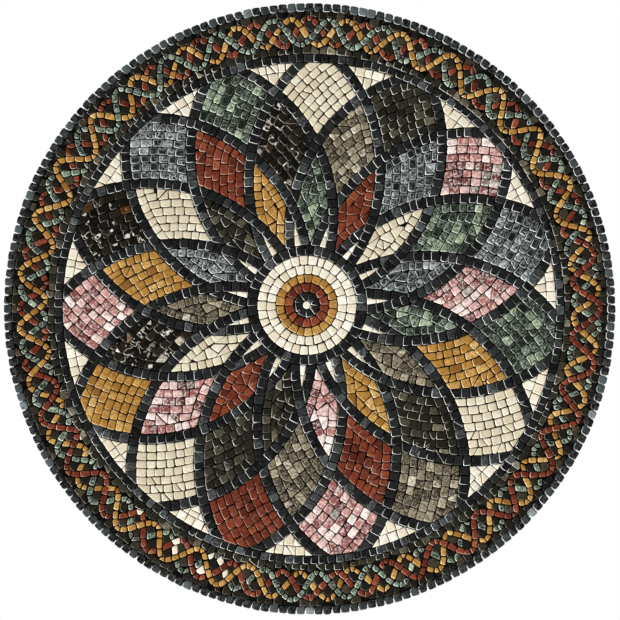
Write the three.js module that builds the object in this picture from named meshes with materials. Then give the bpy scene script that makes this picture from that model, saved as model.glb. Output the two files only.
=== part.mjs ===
// A round mosaic panel: small cut stones set in a mortar bed, as a hand-laid pavement medallion.
//
// The panel stands upright with its face towards -Y and its back in the plane y = 0.
// Fifteen equal circles through the centre cross one another and part the disc into fields.
// Each field is one stone colour; black rows of stones run along the circles between them.
// Every field, ring and row is one fused body of its stones, with a joint to its neighbours.
//
// Places in the face are given by a radius from the centre and an angle in degrees,
// counted clockwise from the top as seen from the front.

import * as THREE from 'three';

// Thickness, in millimetres
const BED_THICKNESS = 6;
const STONE_DEPTH = 6.7;
const JOINT = 0.3;

// The rim and the rings inside it, as radii
const BED_RADIUS = 302;
const RIM_OUTER = 305;
const RIM_NOTCH = 1.6;
const RIM_STONES = 212;
const BRAID_OUTER = 297.4;
const DARK_ROW_OUTER = 263;
const BORDER_OUTER = 255.4;
const BORDER_INNER = 247;

// The circles through the centre and the black rows along them
const PETALS = 15;
const CIRCLE_RADIUS = 162.9;
const FIRST_PETAL = 3.3;
const HALF_ROW = 5;
const PETAL_TIP = 63;

// The rings round the middle, as outer radii from the outside in
const HUB_OUTER = 60;
const WHITE_RING_OUTER = 50;
const CREAM_RING_OUTER = 40.5;
const OCHRE_RING_OUTER = 31.2;
const RED_RING_OUTER = 22.6;
const BLACK_RING_OUTER = 13.3;
const CENTRE_STONE_RADIUS = 4.3;

// The hand-laid drift: the middle sits off centre, and the fields lean round at the border
const MIDDLE_SHIFT = { x: -2.6, z: 4 };
const LEAN = { degrees: 2.4, towards: 248 };
const SECOND_LEAN = 0.45;

// Sides of the plain circles
const LARGE_SIDES = 60;
const SMALL_SIDES = 30;
const CENTRE_SIDES = 16;

const STONES = {
  cream: { color: '#dfd3b6', roughness: 0.5 },
  white: { color: '#efeade', roughness: 0.5 },
  ochre: { color: '#b6843a', roughness: 0.45 },
  red: { color: '#84402a', roughness: 0.45 },
  pink: { color: '#c9938c', roughness: 0.45 },
  green: { color: '#5f7560', roughness: 0.4 },
  slate: { color: '#5d686c', roughness: 0.4 },
  taupe: { color: '#857b67', roughness: 0.5 },
  dark: { color: '#33302a', roughness: 0.45 },
  veined: { color: '#3a332c', roughness: 0.4 },
  brown: { color: '#3b3129', roughness: 0.5 },
  black: { color: '#1f2223', roughness: 0.4 },
  mortar: { color: '#4b4640', roughness: 0.95 },
};

// The stone of each field, clockwise from the top
const OUTER_FIELDS = [
  'cream', 'dark', 'pink', 'slate', 'green', 'cream', 'taupe', 'pink',
  'red', 'cream', 'ochre', 'pink', 'veined', 'slate', 'green',
];
const MIDDLE_FIELDS = [
  'taupe', 'slate', 'green', 'pink', 'ochre', 'dark', 'red', 'taupe',
  'dark', 'pink', 'veined', 'ochre', 'cream', 'red', 'veined',
];
const PETAL_FIELDS = [
  'green', 'red', 'cream', 'slate', 'green', 'taupe', 'ochre', 'pink',
  'dark', 'red', 'cream', 'taupe', 'slate', 'dark', 'ochre',
];

const STEP = 360 / PETALS;
const FACE_BACK = BED_THICKNESS + JOINT;
const radians = THREE.MathUtils.degToRad;
const degrees = THREE.MathUtils.radToDeg;

// The point of the face at a radius and an angle, with the drift of the hand-laid field.
function laidPoint(radius, angle) {
  const outward = Math.min(radius / BORDER_INNER, 1);
  const lean = LEAN.degrees * Math.cos(radians(angle - LEAN.towards))
    + SECOND_LEAN * Math.cos(radians(2 * angle));
  const turned = radians(angle + lean * outward);
  const shift = 1 - outward * outward;
  return new THREE.Vector2(
    radius * Math.sin(turned) + MIDDLE_SHIFT.x * shift,
    radius * Math.cos(turned) + MIDDLE_SHIFT.z * shift,
  );
}

// A closed ring of points at one radius.
function circlePath(radius, sides) {
  const points = [];
  for (let i = 0; i < sides; i += 1) points.push(laidPoint(radius, (i * 360) / sides));
  return points;
}

// The radius at which the circles cross, counted outwards from the crossing nearest the middle.
function crossingRadius(level) {
  return 2 * CIRCLE_RADIUS * Math.sin(radians((STEP * (level + 0.5)) / 2));
}

// The angle from a field's axis to one of its outer sides, which lean in towards its outer tip.
function outerSide(radius, tipRadius, inset) {
  const cosine = (radius ** 2 + 2 * CIRCLE_RADIUS * inset - inset ** 2) / (2 * radius * CIRCLE_RADIUS);
  return degrees(Math.acos(cosine)) - degrees(Math.acos(tipRadius / (2 * CIRCLE_RADIUS)));
}

// The angle from a field's axis to one of its inner sides, which spread out from its inner tip.
function innerSide(radius, tipRadius, inset) {
  const cosine = (radius ** 2 - 2 * CIRCLE_RADIUS * inset - inset ** 2) / (2 * radius * CIRCLE_RADIUS);
  return degrees(Math.acos(tipRadius / (2 * CIRCLE_RADIUS))) - degrees(Math.acos(cosine));
}

// The radius of a field's inner tip, once its sides are set in by half a black row.
function innerTip(tipRadius, inset) {
  return (tipRadius + Math.sqrt(tipRadius ** 2 + 4 * inset * (2 * CIRCLE_RADIUS + inset))) / 2;
}

// The radius of a field's outer tip, once its sides are set in by half a black row.
function outerTip(tipRadius, inset) {
  return (tipRadius + Math.sqrt(tipRadius ** 2 - 4 * inset * (2 * CIRCLE_RADIUS - inset))) / 2;
}

// The radius of a field's side corners, where its inner and outer sides meet.
function sideCorner(level, inset) {
  let low = crossingRadius(level + 1) - 30;
  let high = crossingRadius(level + 1) + 30;
  while (high - low > 0.001) {
    const middle = (low + high) / 2;
    const inner = innerSide(middle, crossingRadius(level), inset);
    const outer = outerSide(middle, crossingRadius(level + 2), inset);
    if (inner < outer) low = middle;
    else high = middle;
  }
  return low;
}

// Half of a field's outline, from its inner tip to its outer tip, as radii and angles from its axis.
// A field that reaches past the limit radius is cut off along that circle.
function halfField(level, inset, start, limit) {
  const tipIn = crossingRadius(level);
  const tipOut = crossingRadius(level + 2);
  const first = Math.max(innerTip(tipIn, inset), start);
  const corner = sideCorner(level, inset);
  const last = Math.min(outerTip(tipOut, inset), limit);
  const half = [];
  for (const radius of [first, (first + corner) / 2, corner]) {
    half.push([radius, innerSide(radius, tipIn, inset)]);
  }
  for (const radius of [(corner + last) / 2, last]) {
    half.push([radius, outerSide(radius, tipOut, inset)]);
  }
  return half;
}

// A run of points from a half outline on the clockwise side of an axis.
function rightHalf(half, axis) {
  return half.map(([radius, angle]) => laidPoint(radius, axis + angle));
}

// The same run on the other side of the axis, in the opposite order.
function leftHalf(half, axis) {
  return half.map(([radius, angle]) => laidPoint(radius, axis - angle)).reverse();
}

// The path without points that fall on their neighbour, as both halves do at a tip on the axis.
function withoutRepeats(points) {
  return points.filter((point, i) => point.distanceTo(points[(i + 1) % points.length]) > 0.01);
}

// A field's closed outline.
function fieldPath(half, axis) {
  return withoutRepeats([...rightHalf(half, axis), ...leftHalf(half, axis)]);
}

// The half outline of an outer white triangle, from its apex to its base at the given radius.
function halfTriangle(inset, base) {
  const tip = crossingRadius(3);
  const apex = innerTip(tip, inset);
  const radii = [apex, (apex + base) / 2, base];
  return radii.map((radius) => [radius, Math.max(innerSide(radius, tip, inset), 0)]);
}

// The half outline of a white needle at the middle, from its base at the given radius to its tip.
function halfNeedle(inset, base) {
  const tip = crossingRadius(1);
  const radii = [base, outerTip(tip, inset)];
  return radii.map((radius) => [radius, Math.max(outerSide(radius, tip, inset), 0)]);
}

function petalAxis(index) {
  return FIRST_PETAL + STEP * index;
}

function betweenAxis(index) {
  return petalAxis(index) + STEP / 2;
}

// A path round the disc that dips in along every outer field and every white triangle.
function scallopedPath(field, triangle) {
  const points = [];
  for (let i = 0; i < PETALS; i += 1) {
    points.push(...leftHalf(field, petalAxis(i)), ...rightHalf(field, petalAxis(i)));
    points.push(...leftHalf(triangle, betweenAxis(i)), ...rightHalf(triangle, betweenAxis(i)));
  }
  return withoutRepeats(points);
}

// The border row's inner edge: straight on past the outer fields, and in round each triangle.
function borderInnerPath() {
  const fieldEnd = halfField(2, HALF_ROW, 0, BORDER_INNER).slice(-1);
  return scallopedPath(fieldEnd, halfTriangle(HALF_ROW, BORDER_INNER));
}

// The outer edge of the black rows: in round each outer field and each triangle.
function circleRowsOuterPath() {
  const inset = HALF_ROW - JOINT;
  const edge = BORDER_INNER - JOINT;
  return scallopedPath(halfField(2, inset, 0, edge), halfTriangle(inset, edge));
}

// The edge between the hub row and the black rows: out round each white needle.
function hubPath(inset, base) {
  const needle = halfNeedle(inset, base);
  const points = [];
  for (let i = 0; i < PETALS; i += 1) {
    points.push(laidPoint(base, petalAxis(i)));
    points.push(laidPoint(base, betweenAxis(i) - needle[0][1]));
    points.push(laidPoint(needle[1][0], betweenAxis(i)));
    points.push(laidPoint(base, betweenAxis(i) + needle[0][1]));
  }
  return points;
}

// The rim's outer edge: a short straight face for each stone and a notch between neighbours.
function rimPath() {
  const pitch = 360 / RIM_STONES;
  const points = [];
  for (let i = 0; i < RIM_STONES; i += 1) {
    points.push(laidPoint(RIM_OUTER, (i - 0.36) * pitch));
    points.push(laidPoint(RIM_OUTER, (i + 0.36) * pitch));
    points.push(laidPoint(RIM_OUTER - RIM_NOTCH, (i + 0.5) * pitch));
  }
  return points;
}

const panel = new THREE.Group();

// A slab of one stone with the given outline and holes, added to the panel by name.
// Paths are counted clockwise, and a shape's outline runs the other way round from its holes.
function addSlab(name, stone, outline, holes, depth, back) {
  const shape = new THREE.Shape([...outline].reverse());
  for (const hole of holes) shape.holes.push(new THREE.Path(hole));
  const geometry = new THREE.ExtrudeGeometry(shape, { depth, bevelEnabled: false });
  const material = new THREE.MeshStandardMaterial({ ...STONES[stone], metalness: 0 });
  const mesh = new THREE.Mesh(geometry, material);
  mesh.name = name;
  mesh.rotation.x = Math.PI / 2;
  mesh.position.y = -back;
  panel.add(mesh);
}

function addStones(name, stone, outline, holes = []) {
  addSlab(name, stone, outline, holes, STONE_DEPTH, FACE_BACK);
}

// A round row of stones between two radii, with a joint outside it.
function addRing(name, stone, outer, inner, sides) {
  addStones(name, stone, circlePath(outer - JOINT, sides), [circlePath(inner, sides)]);
}

// The mortar bed behind everything
addSlab('mortar_bed', 'mortar', circlePath(BED_RADIUS, LARGE_SIDES), [], BED_THICKNESS, 0);

// The rim, the braided band, the dark row and the border row with its white triangles
addStones('rim_row', 'black', rimPath(), [circlePath(BRAID_OUTER, LARGE_SIDES)]);
addRing('braided_band', 'brown', BRAID_OUTER, DARK_ROW_OUTER, LARGE_SIDES);
addRing('dark_row', 'dark', DARK_ROW_OUTER, BORDER_OUTER, LARGE_SIDES);
addStones(
  'border_row_and_triangles',
  'black',
  circlePath(BORDER_OUTER - JOINT, LARGE_SIDES),
  [borderInnerPath()],
);

// The black rows along the circles, with an opening for every middle field and petal
const openings = [];
for (let i = 0; i < PETALS; i += 1) {
  const inset = HALF_ROW - JOINT;
  openings.push(fieldPath(halfField(1, inset, 0, BORDER_INNER), betweenAxis(i)));
  openings.push(fieldPath(halfField(0, inset, PETAL_TIP - JOINT, BORDER_INNER), petalAxis(i)));
}
const hubEdge = hubPath(HALF_ROW - JOINT, HUB_OUTER + JOINT);
addStones('black_circle_rows', 'black', circleRowsOuterPath(), [hubEdge, ...openings]);

// The forty-five fields
for (let i = 0; i < PETALS; i += 1) {
  const number = String(i + 1).padStart(2, '0');
  const outer = halfField(2, HALF_ROW, 0, BORDER_INNER - JOINT);
  const middle = halfField(1, HALF_ROW, 0, BORDER_INNER);
  const petal = halfField(0, HALF_ROW, PETAL_TIP, BORDER_INNER);
  addStones(`outer_field_${number}`, OUTER_FIELDS[i], fieldPath(outer, petalAxis(i)));
  addStones(`middle_field_${number}`, MIDDLE_FIELDS[i], fieldPath(middle, betweenAxis(i)));
  addStones(`petal_${number}`, PETAL_FIELDS[i], fieldPath(petal, petalAxis(i)));
}

// The hub row with its white needles, and the rings inside it
addStones(
  'hub_row_and_needles',
  'black',
  hubPath(HALF_ROW, HUB_OUTER),
  [circlePath(WHITE_RING_OUTER, SMALL_SIDES)],
);
addRing('white_ring', 'white', WHITE_RING_OUTER, CREAM_RING_OUTER, SMALL_SIDES);
addRing('cream_ring', 'cream', CREAM_RING_OUTER, OCHRE_RING_OUTER, SMALL_SIDES);
addRing('ochre_ring', 'ochre', OCHRE_RING_OUTER, RED_RING_OUTER, SMALL_SIDES);
addRing('red_ring', 'red', RED_RING_OUTER, BLACK_RING_OUTER, CENTRE_SIDES);
addRing('black_ring', 'black', BLACK_RING_OUTER, CENTRE_STONE_RADIUS, CENTRE_SIDES);
addStones('centre_stone', 'white', circlePath(CENTRE_STONE_RADIUS - JOINT, CENTRE_SIDES));

export default panel;
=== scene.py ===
import functools
import itertools
import math
import random

import bpy
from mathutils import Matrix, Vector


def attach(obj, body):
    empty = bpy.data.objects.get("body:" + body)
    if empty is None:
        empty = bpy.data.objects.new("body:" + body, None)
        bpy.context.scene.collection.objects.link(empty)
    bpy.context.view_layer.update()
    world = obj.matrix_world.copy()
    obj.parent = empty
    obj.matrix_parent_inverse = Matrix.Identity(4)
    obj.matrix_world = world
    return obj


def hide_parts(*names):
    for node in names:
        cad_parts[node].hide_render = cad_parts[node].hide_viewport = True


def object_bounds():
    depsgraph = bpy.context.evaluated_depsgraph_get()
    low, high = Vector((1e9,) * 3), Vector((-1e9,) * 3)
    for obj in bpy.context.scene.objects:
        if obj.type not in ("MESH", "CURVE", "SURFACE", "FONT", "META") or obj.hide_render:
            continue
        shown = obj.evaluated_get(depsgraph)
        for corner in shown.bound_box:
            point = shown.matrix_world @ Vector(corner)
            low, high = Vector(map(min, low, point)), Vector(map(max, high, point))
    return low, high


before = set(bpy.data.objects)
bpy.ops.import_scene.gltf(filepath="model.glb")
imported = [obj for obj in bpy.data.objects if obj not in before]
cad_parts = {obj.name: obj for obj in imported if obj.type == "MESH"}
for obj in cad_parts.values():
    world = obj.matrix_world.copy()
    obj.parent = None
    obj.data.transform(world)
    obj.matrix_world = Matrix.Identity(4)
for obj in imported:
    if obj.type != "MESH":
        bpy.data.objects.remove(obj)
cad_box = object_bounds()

# ---------------------------------------------------------------------------
# The camera looks straight at the face of the panel through a long lens, so
# that the rim stays round and the stones' sides hardly show.
VIEW_WIDTH = 0.620
VIEW_DISTANCE = 3.0
VIEW_CENTRE = (0.0005, -0.001)
SENSOR_WIDTH = 36.0

camera_data = bpy.data.cameras.new("front_camera")
camera_data.sensor_width = SENSOR_WIDTH
camera_data.lens = SENSOR_WIDTH * VIEW_DISTANCE / VIEW_WIDTH
camera = bpy.data.objects.new("front_camera", camera_data)
camera.location = (VIEW_CENTRE[0], cad_box[0][1] - VIEW_DISTANCE, VIEW_CENTRE[1])
camera.rotation_euler = (math.radians(90), 0, 0)
bpy.context.scene.collection.objects.link(camera)
bpy.context.scene.camera = camera

# ---------------------------------------------------------------------------
# The mortar bed: a cast disc of dark cement mortar that carries every stone.
# It rises between the stones to a little below their faces, and its back is
# flat, with a glass-fibre net pressed into it.
MM = 0.001
BED_RADIUS = 302.0
BED_DEPTH = 9.6
BED_EDGE = 0.8
BED_SIDES = 256
BED_RINGS = (100.0, 200.0)
BLOTCH_SIZE = 30.0
SAND_SIZE = 0.9
GROUT_DEPTH = (0.5, 1.5)
NET_SPACING = 10.0
THREAD_SHARPNESS = 12.0


def linear(hex_colour):
    """An sRGB colour such as '#c08a3e' as linear values."""
    values = [int(hex_colour[i:i + 2], 16) / 255 for i in (1, 3, 5)]
    return [v / 12.92 if v <= 0.04045 else ((v + 0.055) / 1.055) ** 2.4 for v in values] + [1.0]


def add_node(tree, kind, inputs=None, **settings):
    """Adds a node. An input given as a socket is linked, one given as a node is linked to that node's
    first output in use, and any other value is set on it."""
    node = tree.nodes.new(kind)
    for name, value in settings.items():
        setattr(node, name, value)
    for key, value in (inputs or {}).items():
        if isinstance(value, bpy.types.Node):
            value = next(socket for socket in value.outputs if socket.enabled)
        if isinstance(value, bpy.types.NodeSocket):
            tree.links.new(value, node.inputs[key])
        else:
            node.inputs[key].default_value = value
    return node


def new_material(name):
    """An empty node material, and the function that adds a node to it."""
    material = bpy.data.materials.new(name)
    material.use_nodes = True
    material.node_tree.nodes.clear()
    return material, functools.partial(add_node, material.node_tree)


def new_piece(name, vertices, faces, material):
    """A mesh object at the origin, with its points in metres."""
    mesh = bpy.data.meshes.new(name)
    mesh.from_pydata(vertices, [], faces)
    mesh.materials.append(material)
    piece = bpy.data.objects.new(name, mesh)
    bpy.context.scene.collection.objects.link(piece)
    return piece


def cement_mortar():
    """Cement mortar with fine sand, matt, blotchy and open-pored: grey at the back, where the threads
    of a glass-fibre net show, and near black between the stones, where it was grouted dark."""
    material, add = new_material("sanded_cement_mortar")
    place = add("ShaderNodeTexCoord").outputs["Object"]
    axes = add("ShaderNodeSeparateXYZ", {"Vector": place}).outputs
    blotch = add("ShaderNodeTexNoise", {"Vector": place, "Scale": 1 / (BLOTCH_SIZE * MM), "Detail": 5.0})
    sand = add("ShaderNodeTexNoise", {"Vector": place, "Scale": 1 / (SAND_SIZE * MM), "Detail": 3.0})
    grout, cement = (
        add("ShaderNodeMix", {"Factor": blotch, 6: linear(dark), 7: linear(pale)}, data_type="RGBA")
        for dark, pale in (("#0a0907", "#221e19"), ("#5a544b", "#99938a"))
    )
    bare = add("ShaderNodeMapRange", {
        "Value": axes["Y"],
        "From Min": (GROUT_DEPTH[0] - BED_DEPTH) * MM, "From Max": (GROUT_DEPTH[1] - BED_DEPTH) * MM,
    })
    body = add("ShaderNodeMix", {"Factor": bare, 6: grout, 7: cement}, data_type="RGBA")
    grit = add("ShaderNodeMix", {"Factor": 0.45, 6: body, 7: sand}, data_type="RGBA", blend_type="SOFT_LIGHT")
    # The net in the back: threads both ways, a little proud and paler than the cement.
    threads = []
    for axis in ("X", "Z"):
        turns = add("ShaderNodeMath", {0: axes[axis], 1: math.pi / (NET_SPACING * MM)}, operation="MULTIPLY")
        wave = add("ShaderNodeMath", {0: turns}, operation="COSINE")
        even = add("ShaderNodeMath", {0: wave}, operation="ABSOLUTE")
        threads.append(add("ShaderNodeMath", {0: even, 1: THREAD_SHARPNESS}, operation="POWER"))
    net = add("ShaderNodeMath", {0: threads[0], 1: threads[1]}, operation="MAXIMUM")
    on_back = add("ShaderNodeMath", {0: axes["Y"], 1: -0.5 * MM}, operation="GREATER_THAN")
    net_back = add("ShaderNodeMath", {0: net, 1: on_back}, operation="MULTIPLY")
    fibre = add("ShaderNodeMath", {0: net_back, 1: 0.45}, operation="MULTIPLY")
    netted = add("ShaderNodeMix", {"Factor": fibre, 6: grit, 7: linear("#c9c6bd")}, data_type="RGBA")
    relief = add("ShaderNodeMath", {0: net_back, 1: 1.5, 2: sand}, operation="MULTIPLY_ADD")
    bump = add("ShaderNodeBump", {"Height": relief, "Strength": 0.8, "Distance": 0.5 * MM})
    shader = add("ShaderNodeBsdfPrincipled", {"Base Color": netted, "Roughness": 0.95, "Normal": bump})
    add("ShaderNodeOutputMaterial", {"Surface": shader})
    return material


def bed_mesh():
    """The disc as rings of points from the middle of the back round to the middle of the front."""
    back = [(radius, 0.0) for radius in (*BED_RINGS, BED_RADIUS - BED_EDGE)] + [(BED_RADIUS, BED_EDGE)]
    profile = back + [(radius, BED_DEPTH - depth) for radius, depth in reversed(back)]
    vertices = [(0, 0, 0)]
    for radius, depth in profile:
        for i in range(BED_SIDES):
            turn = 2 * math.pi * i / BED_SIDES
            vertices.append((radius * math.sin(turn) * MM, -depth * MM, radius * math.cos(turn) * MM))
    last = len(vertices)
    vertices.append((0, -BED_DEPTH * MM, 0))
    faces = []
    for i in range(BED_SIDES):
        following = (i + 1) % BED_SIDES
        faces.append((0, 1 + i, 1 + following))
        for a in range(1, last - BED_SIDES, BED_SIDES):
            b = a + BED_SIDES
            faces.append((a + i, b + i, b + following, a + following))
        outer = last - BED_SIDES
        faces.append((outer + i, last, outer + following))
    return vertices, faces


mortar_bed = new_piece("cast_mortar_bed", *bed_mesh(), cement_mortar())
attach(mortar_bed, "root")
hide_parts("mortar_bed")

# ---------------------------------------------------------------------------
# The rim: one row of black basalt stones with rounded, tumbled edges, set
# side by side round the edge of the bed.
RIM_INNER = 297.6
RIM_OUTER = 306.2
RIM_STONES = 212
STONE_BACK = 6.5
STONE_DEPTH = 6.2
JOINT = 0.95
JOINT_SHARE = (0.35, 0.6)
CORNER = 0.8
CORNER_SPREAD = (0.6, 1.3)
CORNER_LIMIT = 0.3
HAND_CUT = 0.35
SHORTEST_EDGE = 0.5
SMALLEST_AREA = 4.0
SMALLEST_GIRTH = 0.7
LARGEST_AREA = 105.0
MIDDLE = (0.0, 0.0)
# The way the low light falls across the face, towards the upper right: the edges on each stone's lower left
# face it and get a painted highlight with their dust.
LIGHT_FALLS_TOWARDS = (0.8, 0.0, 0.6)
GRAIN_SIZE = 0.9
# The size of the patches in which the edges' pale dust and painted highlight come and go.
DUST_AND_SHEEN_DRIFT_SIZE = 20.0
# Open pores take more than half of the gloss that solid stone would have.
PORE_GLOSS = 0.2
EVERY_STONE = (-1.0, 0.0)

hand = random.Random(1912)


def polar(radius, angle, centre=MIDDLE):
    """A place on the face in mm, right and up, from an angle counted clockwise from the top."""
    turn = math.radians(angle)
    return (centre[0] + radius * math.sin(turn), centre[1] + radius * math.cos(turn))


def area(outline):
    """The area of an outline; it is positive when the outline runs anticlockwise."""
    pairs = zip(outline, outline[1:] + outline[:1])
    return sum(a[0] * b[1] - b[0] * a[1] for a, b in pairs) / 2


def middle_of(outline):
    """The mean of an outline's points."""
    return (sum(p[0] for p in outline) / len(outline), sum(p[1] for p in outline) / len(outline))


def centre_of(outline):
    """The centre of area of an outline."""
    total = area(outline)
    x = z = 0.0
    for a, b in zip(outline, outline[1:] + outline[:1]):
        cross = a[0] * b[1] - b[0] * a[1]
        x += (a[0] + b[0]) * cross
        z += (a[1] + b[1]) * cross
    return (x / (6 * total), z / (6 * total))


def part_way(here, there, share):
    """The place at a share of the way from here to there."""
    return (here[0] + (there[0] - here[0]) * share, here[1] + (there[1] - here[1]) * share)


def beyond(place, point, normal):
    """How far a place lies beyond the line through a point, along its normal."""
    return (place[0] - point[0]) * normal[0] + (place[1] - point[1]) * normal[1]


def trim(outline, point, normal):
    """The part of a convex outline that doesn't lie beyond the line through a point."""
    kept = []
    heights = [beyond(place, point, normal) for place in outline]
    for i, here in enumerate(outline):
        following = (i + 1) % len(outline)
        high, next_high = heights[i], heights[following]
        if high <= 0:
            kept.append(here)
        if (high < 0 < next_high) or (next_high < 0 < high):
            kept.append(part_way(here, outline[following], high / (high - next_high)))
    return kept if len(kept) > 2 else []


def edges_of(outline):
    """Each edge of an anticlockwise outline as its first point and its outward normal."""
    edges = []
    for a, b in zip(outline, outline[1:] + outline[:1]):
        length = math.dist(a, b)
        if length > 1e-6:
            edges.append((a, ((b[1] - a[1]) / length, (a[0] - b[0]) / length)))
    return edges


def inset(outline, distance):
    """A convex outline with every edge moved in by a distance."""
    for point, normal in edges_of(outline):
        if outline:
            back = (point[0] - normal[0] * distance, point[1] - normal[1] * distance)
            outline = trim(outline, back, normal)
    return outline


def girth_of(outline, centre):
    """The distance from the centre to the nearest edge."""
    return min(-beyond(centre, point, normal) for point, normal in edges_of(outline))


def without_short_edges(outline, shortest):
    """The outline with points that crowd their neighbour left out."""
    kept = []
    for point in outline:
        if not kept or math.dist(point, kept[-1]) > shortest:
            kept.append(point)
    if len(kept) > 1 and math.dist(kept[0], kept[-1]) <= shortest:
        kept.pop()
    return kept


def cut_by_hand(outline, joint=JOINT, corner=CORNER, rough=HAND_CUT, smallest=SMALLEST_GIRTH,
                least=SMALLEST_AREA):
    """One stone's finished outline: its half of the joints taken off, uneven, with nibbled corners."""
    if len(outline) < 3:
        return []
    if area(outline) < 0:
        outline = outline[::-1]
    taken = inset(outline, joint * hand.uniform(*JOINT_SHARE))
    outline = without_short_edges(taken, SHORTEST_EDGE + 2 * rough)
    if len(outline) < 3 or area(outline) < least:
        return []
    uneven = [(x + hand.uniform(-rough, rough), z + hand.uniform(-rough, rough)) for x, z in outline]
    rounded = []
    for i, here in enumerate(uneven):
        for there in (uneven[i - 1], uneven[(i + 1) % len(uneven)]):
            length = math.dist(here, there)
            nibbled = min(corner * hand.uniform(*CORNER_SPREAD), length * CORNER_LIMIT)
            rounded.append(part_way(here, there, nibbled / length))
    return rounded if girth_of(rounded, centre_of(rounded)) > smallest else []


def halved(outline):
    """A large outline cut in two across its longest way."""
    centre = centre_of(outline)
    tip = max(outline, key=lambda point: math.dist(point, centre))
    length = math.dist(tip, centre)
    way = ((tip[0] - centre[0]) / length, (tip[1] - centre[1]) / length)
    return [trim(outline, centre, way), trim(outline, centre, (-way[0], -way[1]))]


def cut_all(outlines, **cut):
    """Every outline cut by hand: the large ones in two, and none that comes out too small to set."""
    sized = []
    for outline in outlines:
        large = len(outline) > 2 and abs(area(outline)) > LARGEST_AREA
        sized.extend(halved(outline) if large else [outline])
    finished = [cut_by_hand(outline, **cut) for outline in sized]
    return [outline for outline in finished if outline]


def joints_along(start, end, radius, pitch, uneven=0.1):
    """The angles of the joints along a row: evenly shared out, but for a little unevenness."""
    count = max(1, round(math.radians(abs(end - start)) * radius / pitch))
    step = (end - start) / count
    between = [start + step * (i + hand.uniform(-uneven, uneven)) for i in range(1, count)]
    return [start] + between + [end]


def lay_row(first, second, joints):
    """The outlines of one row of stones between two circles, each a centre and a radius."""
    return [
        [polar(first[1], a, first[0]), polar(second[1], a, second[0]),
         polar(second[1], b, second[0]), polar(first[1], b, first[0])]
        for a, b in zip(joints, joints[1:])
    ]


def full_ring(inner, outer, pitch):
    """The outlines of a closed ring of stones about the middle of the panel."""
    start = hand.uniform(0, 360)
    joints = joints_along(start, start + 360, (inner + outer) / 2, pitch)
    return lay_row((MIDDLE, inner), (MIDDLE, outer), joints)


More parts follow.
